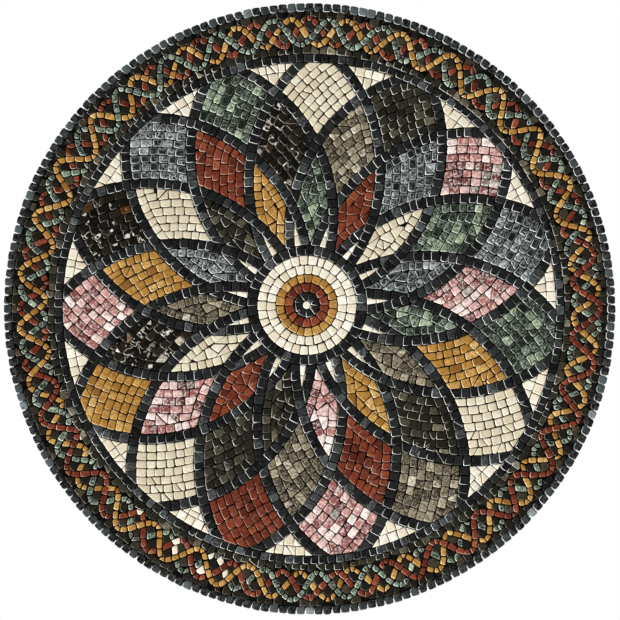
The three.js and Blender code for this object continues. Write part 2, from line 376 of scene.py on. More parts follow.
def stone_cutter():
    """The node tree that raises flat outlines to stones: closed, with worn edges, each a little aslant."""
    tree = bpy.data.node_groups.new("stone cutter", "GeometryNodeTree")
    add = functools.partial(add_node, tree)
    for name, kind, value in (
        ("Outlines", "Geometry", None), ("Depth", "Float", STONE_DEPTH * MM),
        ("Worn Edge", "Float", 0.45 * MM), ("Soft Border", "Float", 0.7 * MM),
        ("Crown", "Float", 0.05 * MM), ("Slope", "Float", 0.03), ("Uneven Height", "Float", 0.15 * MM),
        ("Seed", "Int", 1), ("Stone", "Material", None),
    ):
        socket = tree.interface.new_socket(name, in_out="INPUT", socket_type="NodeSocket" + kind)
        if value is not None:
            socket.default_value = value
    tree.interface.new_socket("Stones", in_out="OUTPUT", socket_type="NodeSocketGeometry")
    given = add("NodeGroupInput").outputs
    to_centre = add("GeometryNodeInputNamedAttribute", {"Name": "to_centre"}, data_type="FLOAT_VECTOR")
    girth = add("GeometryNodeInputNamedAttribute", {"Name": "girth"}, data_type="FLOAT")
    island = add("GeometryNodeInputMeshIsland")

    # What is drawn once for each stone. The way of the painted highlight on the edges strays a little from
    # stone to stone.
    drawn = []
    for kind, limits in (
        ("FLOAT", {}), ("FLOAT", {}), ("FLOAT_VECTOR", {"Min": (-1.0, 0.0, -1.0), "Max": (1.0, 0.0, 1.0)}),
        ("FLOAT", {2: -1.0}), ("FLOAT_VECTOR", {"Min": (-0.6, 0.0, -0.6), "Max": (0.6, 0.0, 0.6)}),
    ):
        seed = add("ShaderNodeMath", {0: given["Seed"], 1: 100.0 * len(drawn)}, operation="ADD")
        drawn.append(add("FunctionNodeRandomValue", {"ID": island, "Seed": seed, **limits}, data_type=kind))
    tone, shade, lean, height, stray = drawn
    # The lit side: 1 on a stone's lower left, which faces the low light, where the worn edges get their pale
    # dust and a painted highlight, and -1 across from it.
    lit_way = add("ShaderNodeVectorMath", {0: stray, 1: LIGHT_FALLS_TOWARDS}, operation="ADD")
    way = add("ShaderNodeVectorMath", {0: to_centre}, operation="NORMALIZE")
    lee = add("ShaderNodeVectorMath", {0: way, 1: lit_way}, operation="DOT_PRODUCT")
    geometry = given["Outlines"]
    for name, value in (("tone", tone), ("shade", shade), ("lee", lee)):
        geometry = add("GeometryNodeStoreNamedAttribute", {
            "Geometry": geometry, "Name": name, "Value": value,
        }, data_type="FLOAT", domain="POINT")
    back = add("GeometryNodeFlipFaces", {"Mesh": geometry})

    # How far each stone's face stands forward: its depth, its own height and its slope.
    leant = add("ShaderNodeVectorMath", {0: to_centre, 1: lean}, operation="DOT_PRODUCT")
    sloped = add("ShaderNodeMath", {0: leant, 1: given["Slope"], 2: given["Depth"]}, operation="MULTIPLY_ADD")
    level = add("ShaderNodeMath", {0: height, 1: given["Uneven Height"], 2: sloped}, operation="MULTIPLY_ADD")
    shoulder = add("ShaderNodeMath", {0: level, 1: given["Worn Edge"]}, operation="SUBTRACT")

    # The stone's sides, the worn edge in two steps, and then the soft border of the face. Each step:
    # the name of the attribute that is 1 outside it and 0 inside it, how far in it ends, how far it
    # rises, and the most that it may take of the stone's girth.
    border = add("ShaderNodeMath", {0: given["Worn Edge"], 1: given["Soft Border"]}, operation="ADD")
    top = True
    gone_in = 0.0
    for mark, inward, inward_share, upward, upward_share, most in (
        (None, 0.0, 1.0, shoulder, 1.0, 0.0),
        (None, given["Worn Edge"], 0.25, given["Worn Edge"], 0.65, 0.12),
        ("worn", given["Worn Edge"], 1.0, given["Worn Edge"], 0.35, 0.35),
        ("border", border, 1.0, given["Crown"], 1.0, 0.75),
    ):
        reach = add("ShaderNodeMath", {0: inward, 1: inward_share}, operation="MULTIPLY")
        limit = add("ShaderNodeMath", {0: girth, 1: most}, operation="MULTIPLY")
        total = add("ShaderNodeMath", {0: reach, 1: limit}, operation="MINIMUM")
        move = add("ShaderNodeMath", {0: total, 1: gone_in}, operation="SUBTRACT")
        share = add("ShaderNodeMath", {0: move, 1: girth}, operation="DIVIDE")
        rise = add("ShaderNodeMath", {0: upward, 1: -upward_share}, operation="MULTIPLY")
        inwards = add("ShaderNodeVectorMath", {0: to_centre, "Scale": share}, operation="SCALE")
        upwards = add("ShaderNodeCombineXYZ", {"Y": rise})
        offset = add("ShaderNodeVectorMath", {0: inwards, 1: upwards}, operation="ADD")
        face = add("GeometryNodeExtrudeMesh", {
            "Mesh": geometry, "Selection": top, "Offset Scale": 0.0,
        }, mode="FACES")
        top = face.outputs["Top"]
        geometry = add("GeometryNodeSetPosition", {"Geometry": face, "Selection": top, "Offset": offset})
        gone_in = total
        if mark:
            outside = add("ShaderNodeMath", {0: 1.0, 1: top}, operation="SUBTRACT")
            geometry = add("GeometryNodeStoreNamedAttribute", {
                "Geometry": geometry, "Name": mark, "Value": outside,
            }, data_type="FLOAT", domain="POINT")

    both = add("GeometryNodeJoinGeometry", {0: geometry})
    tree.links.new(back.outputs[0], both.inputs[0])
    closed = add("GeometryNodeMergeByDistance", {"Geometry": both, "Distance": 0.002 * MM})
    smooth = add("GeometryNodeSetShadeSmooth", {"Geometry": closed})
    real = add("GeometryNodeRealizeInstances", {"Geometry": smooth})
    finished = add("GeometryNodeSetMaterial", {"Geometry": real, "Material": given["Stone"]})
    add("NodeGroupOutput", {0: finished})
    return tree


cutter = stone_cutter()
laid_pieces = []


def lay_stones(name, node, slot, outlines, material, **cut):
    """Raises outlines in mm to one piece of closed stones, which takes the place of a node."""
    vertices, faces, ways, girths = [], [], [], []
    for outline in outlines:
        centre = centre_of(outline)
        girth = girth_of(outline, centre)
        faces.append(range(len(vertices), len(vertices) + len(outline)))
        for x, z in outline:
            vertices.append((x * MM, -STONE_BACK * MM, z * MM))
            ways.extend(((centre[0] - x) * MM, 0.0, (centre[1] - z) * MM))
            girths.append(girth * MM)
    drawing = new_piece(name + "_outlines", vertices, faces, material)
    drawing.data.attributes.new("to_centre", "FLOAT_VECTOR", "POINT").data.foreach_set("vector", ways)
    drawing.data.attributes.new("girth", "FLOAT", "POINT").data.foreach_set("value", girths)
    modifier = drawing.modifiers.new("stone cutter", "NODES")
    modifier.node_group = cutter
    sockets = {item.name: item.identifier for item in cutter.interface.items_tree if item.in_out == "INPUT"}
    modifier[sockets["Seed"]] = len(laid_pieces) + 1
    modifier[sockets["Stone"]] = material
    for key, value in cut.items():
        modifier[sockets[key.replace("_", " ").title()]] = value
    evaluated = drawing.evaluated_get(bpy.context.evaluated_depsgraph_get())
    stones = bpy.data.meshes.new_from_object(evaluated)
    stones.name = name
    bpy.data.objects.remove(drawing)
    piece = bpy.data.objects.new(name, stones)
    bpy.context.scene.collection.objects.link(piece)
    laid_pieces.append(piece)
    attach(piece, "root")
    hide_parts(node)


def cut_stone(name, tones, cloud, edge, edge_share, roughness, cloud_size=3.0, cloud_share=0.6,
              border_share=0.0, fleck="#ffffff", fleck_size=1.5, fleck_share=0.0, flecked=EVERY_STONE,
              shards=False, vein="#ffffff", vein_size=14.0, vein_share=0.0, vein_width=0.03,
              veined=EVERY_STONE, grain_share=0.35):
    """Cut stone: every stone has its own tone and its own place in the block, so that its clouds, flecks and
    veins stop at the joints. Its face is honed; its edges are worn, smoother and paler, and on the lower left
    edges the paleness is partly dust and partly a painted highlight of the light from the lower left. Where
    only some stones are flecked or veined, the draws say from where to where that comes in."""
    material, add = new_material(name)
    place = add("ShaderNodeTexCoord").outputs["Object"]
    tone, shade, worn, border, lee = (
        add("ShaderNodeAttribute", attribute_name=mark).outputs["Fac"]
        for mark in ("tone", "shade", "worn", "border", "lee")
    )
    draw = add("ShaderNodeCombineXYZ", {"X": tone, "Y": shade, "Z": tone})
    block = add("ShaderNodeVectorMath", {0: draw, 1: (3.0, 5.0, 4.0), 2: place}, operation="MULTIPLY_ADD")
    clouds, flecks, folds, grain, dust_and_sheen_drifts = (
        add("ShaderNodeTexNoise", {
            "Vector": where, "Scale": 1 / (size * MM), "Detail": detail, "Roughness": rough,
            "Distortion": bend,
        })
        for where, size, detail, rough, bend in (
            (block, cloud_size, 4.0, 0.6, 0.6), (block, fleck_size, 3.0, 0.7, 1.0),
            (block, vein_size, 3.0, 0.5, 0.0), (block, GRAIN_SIZE, 2.0, 0.5, 0.0),
            (place, DUST_AND_SHEEN_DRIFT_SIZE, 2.0, 0.5, 0.0),
        )
    )
    fleck_edge = (0.5, 0.58)
    if shards:
        cells = add("ShaderNodeTexVoronoi", {"Vector": block, "Scale": 1 / (fleck_size * MM)})
        flecks = cells.outputs["Color"]
        fleck_edge = (0.87, 0.89)
    fold = add("ShaderNodeMath", {0: folds, 1: 0.5}, operation="SUBTRACT")
    off_vein = add("ShaderNodeMath", {0: fold}, operation="ABSOLUTE")
    border_crumbs = add("ShaderNodeMath", {0: border, 1: grain}, operation="MULTIPLY")
    edge_crumbs = add("ShaderNodeMath", {0: worn, 1: grain}, operation="MULTIPLY")

    colour = add("ShaderNodeValToRGB", {"Fac": tone})
    stops = colour.color_ramp.elements
    stops.remove(stops[1])
    for position, tint in tones.items():
        stop = stops.new(position) if position > 0 else stops[0]
        stop.color = linear(tint)
    # The layers of colour from the block up: how much of each there is, its colour, and what thins it out,
    # each a value, from where it lets the layer through to where it does so in full. The soft border is paler
    # all round. The worn edges are paler on the lower left side only, partly with pale dust and partly with a
    # painted highlight of the low light from the lower left, more on some stones than on others, in patches
    # and in crumbs along each edge.
    for share, tint, thinned, blend in (
        (cloud_share, linear(cloud), [(clouds, 0.45, 0.58)], "MIX"),
        (fleck_share, linear(fleck), [(tone, *flecked), (flecks, *fleck_edge)], "MIX"),
        (vein_share, linear(vein), [(shade, *veined), (off_vein, vein_width, vein_width * 0.2)], "MIX"),
        (grain_share, grain, [], "SOFT_LIGHT"),
        (border_share, linear(edge), [(border_crumbs, 0.15, 0.4)], "MIX"),
        # Pale dust and painted highlight: the edge colour on the worn edges that face the light from the
        # lower left.
        (edge_share, linear(edge),
         [(shade, 0.1, 0.6), (dust_and_sheen_drifts, 0.35, 0.5), (lee, -0.1, 0.5), (edge_crumbs, 0.15, 0.4)], "MIX"),
    ):
        if share > 0:
            for value, low, high in thinned:
                share = add("ShaderNodeMapRange", {
                    "Value": value, "From Min": low, "From Max": high, "To Max": share,
                })
            colour = add("ShaderNodeMix", {"Factor": share, 6: colour, 7: tint}, data_type="RGBA",
                         blend_type=blend)
    pits = add("ShaderNodeBump", {"Height": grain, "Strength": 0.4, "Distance": 0.15 * MM})
    swell = add("ShaderNodeBump", {"Height": clouds, "Strength": 0.35, "Distance": 0.5 * MM, "Normal": pits})
    gloss = add("ShaderNodeMapRange", {
        "Value": clouds, "From Min": 0.3, "From Max": 0.7,
        "To Min": roughness - 0.08, "To Max": roughness + 0.12,
    })
    smoother = add("ShaderNodeMath", {0: worn, 1: -0.12, 2: gloss}, operation="MULTIPLY_ADD")
    shader = add("ShaderNodeBsdfPrincipled", {
        "Base Color": colour, "Specular IOR Level": PORE_GLOSS, "Roughness": smoother, "Normal": swell,
    })
    add("ShaderNodeOutputMaterial", {"Surface": shader})
    return material


# Basalt, sawn and tumbled: near black, some stones bluish grey, with pale dust and a painted highlight on the
# lower left worn edges.
basalt = cut_stone(
    "tumbled_basalt", {0.0: "#0f0f0f", 0.5: "#1a1b1a", 0.8: "#262827", 0.94: "#303232", 1.0: "#474c4d"},
    cloud="#292b2a", edge="#eceeea", edge_share=1.0, roughness=0.24, cloud_share=0.45,
    fleck="#747979", fleck_size=2.0, fleck_share=0.5, flecked=(0.8, 0.9),
)
# The same stone where it has weathered, round the rim: greyer, clouded and duller.
weathered_basalt = cut_stone(
    "weathered_basalt", {0.0: "#0b0d0d", 0.5: "#191c1c", 0.8: "#2b3131", 0.93: "#525a5c", 1.0: "#939c9e"},
    cloud="#4a4e4c", edge="#dcdfdb", edge_share=0.8, roughness=0.3, cloud_size=3.4,
)

rim_pitch = 360 / RIM_STONES
rim_joints = [(i - 0.5) * rim_pitch for i in range(RIM_STONES + 1)]
rim_outlines = [
    cut_by_hand(outline, joint=0.6, corner=1.5)
    for outline in lay_row((MIDDLE, RIM_INNER), (MIDDLE, RIM_OUTER), rim_joints)
]
lay_stones("rim_stones", "rim_row", "black", rim_outlines, weathered_basalt,
           worn_edge=0.6 * MM, crown=0.12 * MM)

# ---------------------------------------------------------------------------
# The braided band: three strands of narrow stones, ochre, red and green, that
# pass over and under one another. They are laid level with a ground of dark
# brown stones, which are cut to fit between them.
BRAID_MIDDLE = 277.3
BRAID_SWING = 13.7
BRAID_PERIODS = 32
BRAID_WIDTH = 6.4
BRAID_PITCH = 7.7
UNDER_LAP = 3.6
LINE_STEPS = 6
LINE_REACH = 40
WANDER_TURNS = (13, 29, 47)
WANDER_ALONG = 0.16
WANDER_ACROSS = 0.35
GROUND_INNER = 263.2
GROUND_OUTER = 297.4
GROUND_ROW = 8.4
GROUND_PITCH = 8.6
GROUND_PLACES = 480
GROUND_STARTS = [GROUND_INNER + 2.0 + 2.6 * k for k in range(10)]
GROUND_REACH = 6.0
GROUND_TURN = 1.25
GROUND_MARGIN = 0.8
SECTOR = 6
HALF_ROUND = 180 // SECTOR
MENDED = (197, 223)
OUT_OF_REACH = 20.0
LEAST_OVERLAP = 0.3

# Where each strand swings furthest out, as an angle.
STRAND_CRESTS = {"ochre": -3.7, "red": 0.05, "green": 3.8}
# From each angle on, the strands from the top one down.
STRAND_ORDER = (
    (0, ("green", "ochre", "red")), (16, ("ochre", "green", "red")), (76, ("red", "ochre", "green")),
    (161, ("green", "red", "ochre")), (189, ("ochre", "red", "green")), (228, ("red", "green", "ochre")),
    (257, ("ochre", "green", "red")), (313, ("green", "ochre", "red")),
)


def angle_from(centre, place):
    """The angle in which a place lies as seen from a centre."""
    return math.degrees(math.atan2(place[0] - centre[0], place[1] - centre[1]))


def rank_at(angle, strand):
    """How many strands lie over this one at an angle."""
    order = [names for start, names in STRAND_ORDER if start <= angle % 360][-1]
    return order.index(strand)


def strand_line(crest):
    """A strand's middle line, a wave laid a little unevenly by hand, as closely spaced points."""
    points = []
    for i in range(360 * LINE_STEPS):
        angle = i / LINE_STEPS
        wander = sum(math.sin(math.radians(angle * turns) + crest * turns) for turns in WANDER_TURNS)
        swing = math.radians((angle - crest + WANDER_ALONG * wander) * BRAID_PERIODS)
        points.append(polar(BRAID_MIDDLE + BRAID_SWING * math.cos(swing) + WANDER_ACROSS * wander, angle))
    return points


def distance_to(point, line, near):
    """The distance from a point to a line's nearest point, looked for round a given index."""
    steps = range(-LINE_REACH, LINE_REACH + 1, 2)
    return min(math.dist(point, line[(near + step) % len(line)]) for step in steps)


def strand_stones(name, lines):
    """A strand's stones: each stretch that no strand above hides is shared out into equal stones,
    with joints square to the middle line, and its ends run on under the strand above."""
    line = lines[name]
    seen = []
    for i, point in enumerate(line):
        above = [other for other in lines if rank_at(i / LINE_STEPS, other) < rank_at(i / LINE_STEPS, name)]
        seen.append(all(distance_to(point, lines[other], i) > BRAID_WIDTH / 2 for other in above))
    first = seen.index(False)
    runs = itertools.groupby(range(first, first + len(line)), key=lambda i: seen[i % len(line)])
    step_length = sum(math.dist(a, b) for a, b in zip(line, line[1:])) / (len(line) - 1)
    outlines = []
    for stretch in [list(run) for shown, run in runs if shown]:
        start, end = stretch[0], stretch[-1]
        count = max(1, round((end - start) * step_length / BRAID_PITCH))
        places = [start + (end - start) * k / count for k in range(count + 1)]
        places[0] -= UNDER_LAP / step_length
        places[-1] += UNDER_LAP / step_length
        joints = []
        for place in places:
            a, b = line[int(place) % len(line)], line[(int(place) + 1) % len(line)]
            x, z = part_way(a, b, place % 1)
            half = BRAID_WIDTH / 2 / math.dist(a, b)
            across = ((b[1] - a[1]) * half, (a[0] - b[0]) * half)
            joints.append(((x + across[0], z + across[1]), (x - across[0], z - across[1])))
        outlines.extend([a[0], b[0], b[1], a[1]] for a, b in zip(joints, joints[1:]))
    return outlines


def as_blocker(outline):
    """A stone as something to cut round: its middle and its edges."""
    if area(outline) < 0:
        outline = outline[::-1]
    return middle_of(outline), edges_of(outline)


def overlaps(outline, blocker):
    """Whether a stone that is already laid lies in the way of an outline."""
    middle, edges = blocker
    if max(abs(middle[0] - outline[0][0]), abs(middle[1] - outline[0][1])) > OUT_OF_REACH:
        return False
    for point, normal in edges:
        outline = trim(outline, point, normal)
        if not outline:
            return False
    return abs(area(outline)) > LEAST_OVERLAP


def fit_between(centre, outline, blockers):
    """The part of an outline round a centre that is clear of the stones already laid, or nothing where
    one covers the centre; each is passed along the edge that leaves the most room."""
    for blocker in blockers:
        if overlaps(outline, blocker):
            room, point, normal = max((beyond(centre, *edge), *edge) for edge in blocker[1])
            outline = trim(outline, point, (-normal[0], -normal[1])) if room > 0 else []
            if not outline:
                break
    return outline


def sector_of(place):
    """Which of the band's sectors a place lies in, counted both ways from the top."""
    return round(angle_from(MIDDLE, place)) // SECTOR


lines = {name: strand_line(crest) for name, crest in STRAND_CRESTS.items()}
strands = {name: strand_stones(name, lines) for name in lines}
laid_strands = {name: [] for name in strands}
blockers = []
for rank in range(len(strands)):
    placed = []
    for name, outlines in strands.items():
        for outline in outlines:
            place = middle_of(outline)
            if rank_at(angle_from(MIDDLE, place), name) == rank:
                fitted = fit_between(place, outline, blockers)
                if fitted and abs(area(fitted)) > SMALLEST_AREA:
                    laid_strands[name].append(fitted)
                    placed.append(as_blocker(fitted))
    blockers.extend(placed)

# The ground: whole stones first, in a row along the rim and then wherever there is most room.
candidates = []
for outline in full_ring(GROUND_OUTER - GROUND_ROW, GROUND_OUTER, GROUND_PITCH):
    candidates.append((0, middle_of(outline), outline))
for i in range(GROUND_PLACES):
    angle = 360 * i / GROUND_PLACES
    for radius in GROUND_STARTS:
        place = polar(radius, angle)
        room = min(distance_to(place, line, round(angle * LINE_STEPS)) for line in lines.values())
        if room > BRAID_WIDTH / 2 + GROUND_MARGIN:
            low = (MIDDLE, max(radius - GROUND_REACH, GROUND_INNER))
            high = (MIDDLE, min(radius + GROUND_REACH, GROUND_OUTER))
            row = lay_row(low, high, (angle - GROUND_TURN, angle + GROUND_TURN))
            candidates.append((BRAID_WIDTH / 2 - room, place, row[0]))
ground = []
sectors = {}
for blocker in blockers:
    sectors.setdefault(sector_of(blocker[0]), []).append(blocker)
for _, place, outline in sorted(candidates, key=lambda candidate: candidate[0]):
    sector = sector_of(place)
    near = [(sector + k + HALF_ROUND) % (2 * HALF_ROUND) - HALF_ROUND for k in (-1, 0, 1)]
    around = [blocker for key in near for blocker in sectors.get(key, [])]
    fitted = fit_between(place, outline, around)
    if fitted and abs(area(fitted)) > SMALLEST_AREA:
        ground.append(fitted)
        sectors.setdefault(sector, []).append(as_blocker(fitted))

# Ochre marble, honed: warm golden stones, some browner, with faint brown clouds, specks and veins.
ochre_marble = cut_stone(
    "honed_ochre_marble", {0.0: "#7c5424", 0.1: "#a87c3b", 0.5: "#b98c48", 0.9: "#cca35e", 1.0: "#dab778"},
    cloud="#8a5d24", edge="#f2dcab", edge_share=0.75, roughness=0.32, fleck="#6d461b", fleck_share=0.35,
    vein="#5e3b14", vein_size=12.0, vein_share=0.25,
)
# Red limestone, honed: brick red, duller than the marbles, with darker clouds and a thin pale vein.
red_limestone = cut_stone(
    "honed_red_limestone", {0.0: "#4e2014", 0.3: "#6c2f1e", 0.7: "#7f3b27", 0.95: "#8e4831", 1.0: "#a56038"},
    cloud="#4f1d10", edge="#e0b7a2", edge_share=0.85, roughness=0.34, fleck="#43190e", fleck_share=0.35,
    vein="#a06a4c", vein_share=0.2,
)
# Green marble, polished: bottle green with near-black clouds, and pale crystals in many stones.
green_marble = cut_stone(
    "polished_green_marble",
    {0.0: "#1c261c", 0.2: "#151e15", 0.75: "#2b3729", 0.92: "#6f7f66", 1.0: "#b2bf9c"},
    cloud="#0a0e0a", edge="#cbd6c8", edge_share=0.9, roughness=0.26, cloud_size=2.6, cloud_share=0.9,
    border_share=0.08, fleck="#b4c4b0", fleck_size=2.4, fleck_share=0.6, flecked=(0.01, 0.91),
)
# The paler bed of the same marble: grey-green, mottled nearly black and nearly white.
pale_green_marble = cut_stone(
    "mottled_pale_green_marble", {0.0: "#111810", 0.45: "#323f2f", 0.85: "#64765c", 1.0: "#a3b799"},
    cloud="#0f170f", edge="#d6e0d2", edge_share=0.8, roughness=0.28, cloud_size=2.6, cloud_share=0.95,
    border_share=0.12, fleck="#bfd0bc", fleck_size=2.2, fleck_share=0.5,
)
# Brown stone, honed: so dark and even that the strands stand out from it.
brown_stone = cut_stone(
    "honed_brown_stone", {0.0: "#14120e", 0.5: "#1f1c15", 0.85: "#2b271e", 1.0: "#4a4232"},
    cloud="#110f0b", edge="#b5ae9c", edge_share=0.6, roughness=0.34,
)
# White marble, honed: creamy white and fine-grained, with the faintest grey veins.
white_marble = cut_stone(
    "honed_white_marble", {0.0: "#dacdb4", 0.5: "#e9e1cf", 1.0: "#f5f0e3"},
    cloud="#cfc4ab", edge="#f6f3ea", edge_share=0.4, roughness=0.45, cloud_size=5.0, cloud_share=0.5,
    fleck="#c2b596", fleck_share=0.25, vein="#b9b2a2", vein_share=0.3, grain_share=0.15,
)

# In one stretch of the braid some lost stones were made good with white marble.
mends = []
for stones, share in ((laid_strands["green"], 0.22), (laid_strands["red"], 0.1), (ground, 0.06)):
    for outline in list(stones):
        around = angle_from(MIDDLE, middle_of(outline)) % 360
        if MENDED[0] < around < MENDED[1] and hand.random() < share:
            stones.remove(outline)
            mends.append(outline)
lay_stones("braid_mends", "braided_band", "white", cut_all(mends, joint=0.85), white_marble)
for name, material, joint in (
    ("ochre", ochre_marble, 1.4), ("red", red_limestone, 1.1), ("green", pale_green_marble, 1.5),
):
    lay_stones(f"{name}_strand", "braided_band", name, cut_all(laid_strands[name], joint=joint), material)
ground_outlines = cut_all(ground, joint=0.4, corner=0.5, smallest=0.6)
lay_stones("braid_ground", "braided_band", "brown", ground_outlines, brown_stone,
           depth=(STONE_DEPTH - 0.3) * MM, worn_edge=0.3 * MM)

# ---------------------------------------------------------------------------
# The dark row and the black border row inside the braid, and the white marble
# triangles that stand on the border row between the outer fields.
DARK_ROW_INNER = 255.4
DARK_ROW_LAP = 0.6
DARK_ROW_HOLD = 1.8
DARK_ROW_PITCH = 8.5
BORDER_INNER = 247.0
BORDER_PITCH = 8.45
PETALS = 15
STEP = 360 / PETALS
FIRST_PETAL = 3.3
CIRCLE_RADIUS = 162.9
HALF_ROW = 5.0
MIDDLE_SHIFT = (-2.6, 4.0)
LEAN = (2.4, 248.0)
SECOND_LEAN = 0.45
# The rows of a triangle, from its base: outer radius, inner radius, and half its width as an angle.
TRIANGLE_ROWS = ((BORDER_INNER, 238.0, 5.9), (238.0, 218.0, 3.4))
TRIANGLE_PITCH = 10.0


def drifted(outlines):
    """The hand-laid drift: the middle sits off centre, and the fields lean round towards the border."""
    moved = []
    for outline in outlines:
        points = []
        for place in outline:
            radius = math.hypot(*place)
            angle = angle_from(MIDDLE, place)
            outward = min(radius / BORDER_INNER, 1.0)
            lean = (LEAN[0] * math.cos(math.radians(angle - LEAN[1]))
                    + SECOND_LEAN * math.cos(math.radians(2 * angle)))
            shift = 1 - outward * outward
            centre = (MIDDLE_SHIFT[0] * shift, MIDDLE_SHIFT[1] * shift)
            points.append(polar(radius, angle + lean * outward, centre))
        moved.append(points)
    return moved


def crossing_angle(level):
    """How far two circles have swung from their petal's axis where they cross, counted from the middle."""
    return STEP * (level + 0.5) / 2


def petal_axis(index):
    """The angle at which a petal stands, with an outer field beyond it."""
    return FIRST_PETAL + STEP * index


def between_axis(index):
    """The angle halfway to the next petal, at which a middle field stands."""
    return petal_axis(index) + STEP / 2


def field_sides(axis, level):
    """A field's four sides, two opposite ones and then the other two: each the centre of its circle,
    and whether the field lies inside it (1) or outside it (-1)."""
    inner = 90 - crossing_angle(level)
    outer = 90 - crossing_angle(level + 2)
    return [
        (polar(CIRCLE_RADIUS, axis + inner), -1), (polar(CIRCLE_RADIUS, axis + outer), 1),
        (polar(CIRCLE_RADIUS, axis - inner), -1), (polar(CIRCLE_RADIUS, axis - outer), 1),
    ]


def trim_to(outline, limits):
    """The part of an outline that keeps to every limit: each a centre, a radius and a side."""
    for centre, radius, side in limits:
        if not outline:
            break
        x, z = middle_of(outline)
        length = math.dist((x, z), centre)
        out = ((x - centre[0]) / length, (z - centre[1]) / length)
        point = (centre[0] + out[0] * radius, centre[1] + out[1] * radius)
        outline = trim(outline, point, (out[0] * side, out[1] * side))
    return outline


def limits_of(sides, margins):
    """The circles that a field's stones keep to, at a margin from each of its sides."""
    return [(centre, CIRCLE_RADIUS - side * margin, side) for (centre, side), margin in zip(sides, margins)]


# Olive-black stone, honed: warmer than the basalt, with a rare pale stone and worn, chalky edges that are
# paler on the lower left, partly with a painted highlight.
olive_stone = cut_stone(
    "honed_olive_stone", {0.0: "#1c1b15", 0.5: "#2d2b21", 0.82: "#3e3b2e", 0.95: "#5f5948", 1.0: "#9a917c"},
    cloud="#14130e", edge="#d8d5ca", edge_share=0.9, roughness=0.28,
    fleck="#7d7667", fleck_size=2.0, fleck_share=0.4, flecked=(0.8, 0.9),
)

dark_row = []
for outline in full_ring(DARK_ROW_INNER, GROUND_INNER + DARK_ROW_LAP, DARK_ROW_PITCH):
    place = polar(DARK_ROW_INNER + DARK_ROW_HOLD, angle_from(MIDDLE, middle_of(outline)))
    dark_row.append(fit_between(place, outline, blockers))
lay_stones("dark_row_stones", "dark_row", "dark", cut_all(dark_row, joint=0.6, corner=0.5), olive_stone)
border_row = cut_all(full_ring(BORDER_INNER, DARK_ROW_INNER, BORDER_PITCH))
lay_stones("border_row_stones", "border_row_and_triangles", "black", border_row, basalt)

triangles = []
for index in range(PETALS):
    axis = between_axis(index)
    limits = limits_of(field_sides(axis, 3)[0::2], (HALF_ROW, HALF_ROW))
    for outer, inner, reach in TRIANGLE_ROWS:
        joints = joints_along(axis - reach, axis + reach, inner, TRIANGLE_PITCH, uneven=0.15)
        row = lay_row((MIDDLE, inner), (MIDDLE, outer), joints)
        triangles.extend(trim_to(outline, limits) for outline in row)
triangle_stones = cut_all(drifted(triangles), joint=0.8, corner=0.3, smallest=0.4, least=3.0)
lay_stones("white_triangles", "border_row_and_triangles", "white", triangle_stones, white_marble)

# ---------------------------------------------------------------------------
# The black rows along the fifteen circles: single rows of basalt stones. At
# each crossing one row runs on, and the other is cut to fit against it.
HUB_OUTER = 60.0
ROW_PITCH = 8.8
ROW_OVERRUN = 3.0
CENTRE_SWING = 90 - crossing_angle(0)


def swing_at(radius):
    """How far a circle has swung from the middle where it reaches a radius."""
    return math.degrees(math.asin(radius / (2 * CIRCLE_RADIUS)))


def row_along_circle(index, turn):
    """The stones of one row from the hub to the border; it swings clockwise as it runs out (turn 1)
    or anticlockwise (turn -1)."""
    centre = polar(CIRCLE_RADIUS, petal_axis(index) + turn * CENTRE_SWING)
    # Seen from the circle's own centre, a row runs round twice as fast as seen from the middle.
    towards_middle = petal_axis(index) + turn * CENTRE_SWING + 180
    crossings = [(crossing_angle(level), level) for level in (1, 2, 3) if level % 2 == (turn > 0)]
    stops = [(swing_at(HUB_OUTER), 0), *crossings, (swing_at(BORDER_INNER), 0)]
    outlines = []
    for (low, low_level), (high, high_level) in zip(stops, stops[1:]):
        ends = []
        for swing, level, way in ((low, low_level, 1), (high, high_level, -1)):
            if level:
                aside = HALF_ROW / math.sin(math.radians(2 * swing)) / (2 * CIRCLE_RADIUS)
                swing += way * math.degrees(aside)
            ends.append(towards_middle + turn * 2 * swing)
        joints = joints_along(*ends, CIRCLE_RADIUS, ROW_PITCH)
        joints[0] -= turn * ROW_OVERRUN
        joints[-1] += turn * ROW_OVERRUN
        limits = [(MIDDLE, HUB_OUTER, -1), (MIDDLE, BORDER_INNER, 1)]
        halfway = polar(CIRCLE_RADIUS, sum(ends) / 2, centre)
        for level in (low_level, high_level):
            if level:
                other = polar(CIRCLE_RADIUS, petal_axis(index + turn * level) - turn * CENTRE_SWING)
                side = 1 if math.dist(halfway, other) < CIRCLE_RADIUS else -1
                limits.append((other, CIRCLE_RADIUS - side * HALF_ROW, side))
        row = lay_row((centre, CIRCLE_RADIUS - HALF_ROW), (centre, CIRCLE_RADIUS + HALF_ROW), joints)
        outlines.extend(trim_to(outline, limits) for outline in row)
    return outlines


circle_rows = []
for index in range(PETALS):
    circle_rows.extend(row_along_circle(index, 1))
    circle_rows.extend(row_along_circle(index, -1))
lay_stones("circle_row_stones", "black_circle_rows", "black", cut_all(drifted(circle_rows)), basalt)

# ---------------------------------------------------------------------------
# The fields between the circles: fifteen petals, fifteen middle fields and
# fifteen outer ones. Each is filled with one kind of stone, in rows that
# follow its sides, cut to fit where they run out.
FIELD_PITCH = 8.5
FIELD_UNEVEN = 0.12
REACH = 8.0
PETAL_TIP = 63.0
GAP_STEP = 2.2
GAP_PLACES = 23
GAP_ROOM = 1.1
GAP_STONE = 4.3


def free_range(centre, radius, limits, towards):
    """Between which angles a circle runs inside the limits, looked for in quarter degrees up to 45
    degrees to either side of a place, or None where it doesn't."""
    ahead = angle_from(centre, towards)
    angles = [ahead + i / 4 for i in range(-180, 181)]
    free = [
        angle for angle in angles
        if all((math.dist(polar(radius, angle, centre), c) - r) * side <= 0 for c, r, side in limits)
    ]
    return (free[0], free[-1]) if len(free) > 3 else None


